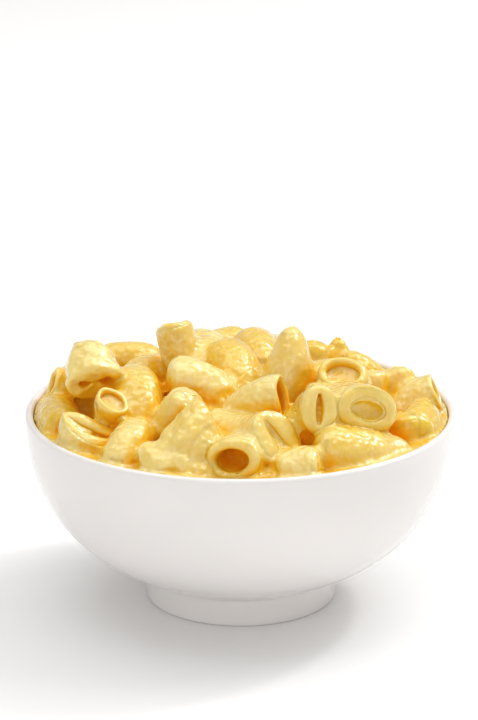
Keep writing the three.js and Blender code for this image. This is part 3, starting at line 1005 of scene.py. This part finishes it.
def mark_shut_in(pieces):
    """Writes how far the food round each point shuts it in: 0 in the open, 1 deep in a crease.
    The materials paint shade into their colour and gloss by it.
    """
    depsgraph = bpy.context.evaluated_depsgraph_get()
    trees = [BVHTree.FromObject(piece, depsgraph) for piece in pieces]
    reach = SHUT_IN_REACH * MM
    ways = []
    for i in range(SHUT_IN_RAYS):
        up = math.sqrt(1 - (i + 0.5) / SHUT_IN_RAYS)
        angle = math.radians(GOLDEN_ANGLE * i)
        flat = math.sqrt(1 - up * up)
        ways.append(Vector((flat * math.cos(angle), flat * math.sin(angle), up)))
    for piece in pieces:
        values = []
        for vertex in piece.data.vertices:
            if vertex.co.z < HIDDEN_UNDER * MM:
                values.append(1.0)
                continue
            start = vertex.co + vertex.normal * SHUT_IN_START * MM
            turn = vertex.normal.to_track_quat("Z", "Y")
            hidden = 0
            for way in ways:
                near = min(clear_way(tree, start, turn @ way, reach) for tree in trees)
                hidden += 1 - (near / reach) ** 2
            values.append(hidden / len(ways))
        mark(piece, "shut_in", values)


def poured(core):
    """One skin over the core and the elbows, all grown by as much as the sauce fills creases."""
    sauce = settings("sauce_settings")
    sides = settings("macaroni_settings").sides
    grown = [copied(core)]
    for vertex in grown[0].data.vertices:
        off = math.hypot(vertex.co.x, vertex.co.y) / MM
        vertex.co.xy *= 1 + sauce.filling / MM / off * min(1, off / 4)
        vertex.co.z += sauce.filling
    starts = {bored: turned("coat_start", coat_profile(bored), sides) for bored in (False, True)}
    for number, elbow in enumerate(all_elbows()):
        grown.append(copied(starts[elbow["open"]]))
        lay_coat(grown[-1], elbow, number)
    for start in starts.values():
        bpy.data.objects.remove(start)
    coat = joined(grown, "cheese_sauce")
    coat.data.remesh_voxel_size = sauce.grain
    bpy.ops.object.voxel_remesh()
    cut_level(coat, COAT_CUT, keep_above=True)
    finish_with(coat, "SMOOTH", factor=0.5, iterations=sauce.softening)
    return coat


def settle(coat, heap):
    """Moves the skin back onto the pasta, so that only the creases stay filled, and marks it."""
    sauce = settings("sauce_settings")
    filling, thick = sauce.filling / MM, sauce.coat / MM
    under, mouths = pasta_under(coat, heap), open_mouths()
    laid, pooled = [], []
    for vertex, (distance, _, rough) in zip(coat.data.vertices, under):
        at = vertex.co / MM
        curds = CURD_SHARE + ROUGH_SHARE * (rough - 1)
        lumps = noise.noise(at / COAT_PATCH) + curds * noise.noise(at / CURD_PATCH)
        stands = thick * (0.4 + curds + lumps)
        whole = smoothstep(from_mouth(at, mouths), THIN_FROM, THIN_TO)
        stands = min(stands, THIN_COAT + stands * whole)
        laid.append(kept_inside(at + vertex.normal * (stands - filling)))
        pooled.append(smoothstep(abs(distance - filling), 0.25, 1.5))
    for vertex, point in zip(coat.data.vertices, laid):
        vertex.co = point * MM
    finish_with(coat, "SMOOTH", factor=0.4, iterations=1)
    mark(coat, "pooled", pooled)
    mark(coat, "gold", [gold for _, gold, _ in under])


class SauceAdd(bpy.types.Operator):
    """Pours the cheese sauce round the elbows"""

    bl_idname = "macaroni.sauce_add"
    bl_label = "Cheese sauce"

    def execute(self, context):
        heap = bpy.data.objects["elbow_macaroni"]
        core = turned("sauce_core", core_profile(), 96)
        coat = poured(core)
        settle(coat, heap)
        cut_level(core, CORE_CUT, keep_above=False)
        sauce = joined([coat, core], "cheese_sauce")
        take(sauce)
        bpy.ops.object.shade_smooth()
        sauce.data.materials.append(cheese_sauce())
        mark_shut_in([heap, sauce])
        put_in_frame(sauce, "macaroni")
        return {"FINISHED"}


# ---------------------------------------------------------------- stage

def lamp(name, place, target, size, power):
    """A round soft light, with its size in metres and its power in watts."""
    data = bpy.data.lights.new(name, "AREA")
    data.shape = "DISK"
    data.size = size
    data.energy = power
    light = bpy.data.objects.new(name, data)
    bpy.context.scene.collection.objects.link(light)
    light.location = place
    light.rotation_mode = "QUATERNION"
    light.rotation_quaternion = (Vector(target) - Vector(place)).to_track_quat("-Z", "Y")


class StageAdd(bpy.types.Operator):
    """Sets the floor, the soft lights and the camera"""

    bl_idname = "macaroni.stage_add"
    bl_label = "Floor, lights and camera"

    def execute(self, context):
        stage = settings("stage_settings")
        deselect_all()
        bpy.ops.mesh.primitive_circle_add(
            vertices=96, radius=stage.floor_radius, fill_type="NGON", location=(0, 0, 0),
        )
        floor = bpy.context.active_object
        floor.name = "paper_floor"
        bpy.ops.object.mode_set(mode="EDIT")
        bpy.ops.mesh.select_all(action="SELECT")
        bpy.ops.mesh.inset(thickness=stage.floor_radius * 0.5)
        bpy.ops.object.mode_set(mode="OBJECT")
        floor.data.materials.append(studio_paper())

        lamp("key_light", (0.62, 0.4, 1.05), (0, 0, 0.05), 0.8, 5.3)
        lamp("glint_light", (0.75, 0.45, 0.95), (0, 0, 0.05), 0.16, 3.1)
        lamp("top_light", (-0.2, 0.1, 1.5), (0, 0, 0), 1.4, 8)
        lamp("front_fill", (-0.3, -1.3, 0.7), (0, 0, 0.05), 1.0, 2.6)
        world = bpy.data.worlds.new("studio")
        context.scene.world = world
        world.use_nodes = True
        background = world.node_tree.nodes["Background"].inputs
        background["Color"].default_value = (1, 0.985, 0.97, 1)
        background["Strength"].default_value = 0.58

        data = bpy.data.cameras.new("camera")
        data.lens = stage.lens
        data.sensor_width = 36
        data.clip_start = 0.01
        data.dof.use_dof = False
        camera = bpy.data.objects.new("camera", data)
        context.scene.collection.objects.link(camera)
        up, back = math.sin(stage.elevation), math.cos(stage.elevation)
        camera.location = (AIM[0] * MM, -stage.distance * back, AIM[1] * MM + stage.distance * up)
        camera.rotation_euler = (math.pi / 2 - stage.tilt, 0, 0)
        context.scene.camera = camera
        context.scene.view_settings.view_transform = "Standard"
        return {"FINISHED"}


# ---------------------------------------------------------------- panel

OPERATORS = (BowlAdd, ElbowsAdd, SauceAdd, StageAdd)


class MacaroniPanel(bpy.types.Panel):
    """The pieces of the bowl of macaroni cheese"""

    bl_idname = "VIEW3D_PT_macaroni"
    bl_label = "Bowl of macaroni cheese"
    bl_space_type = "VIEW_3D"
    bl_region_type = "UI"
    bl_category = "Macaroni"

    def draw(self, context):
        for operator in OPERATORS:
            self.layout.operator(operator.bl_idname)
        for name in SETTINGS:
            group = getattr(context.scene, name)
            box = self.layout.box()
            for prop in type(group).__annotations__:
                box.prop(group, prop)


SETTINGS = {
    "bowl_settings": BowlSettings,
    "macaroni_settings": MacaroniSettings,
    "sauce_settings": SauceSettings,
    "stage_settings": StageSettings,
}
CLASSES = (*SETTINGS.values(), *OPERATORS, MacaroniPanel)


def register():
    for cls in CLASSES:
        bpy.utils.register_class(cls)
    for name, group in SETTINGS.items():
        setattr(bpy.types.Scene, name, bpy.props.PointerProperty(type=group))


def unregister():
    for name in SETTINGS:
        delattr(bpy.types.Scene, name)
    for cls in reversed(CLASSES):
        bpy.utils.unregister_class(cls)


def main():
    register()
    bpy.ops.macaroni.stage_add()
    bpy.ops.macaroni.bowl_add()
    bpy.ops.macaroni.elbows_add()
    bpy.ops.macaroni.sauce_add()


if __name__ == "__main__":
    main()
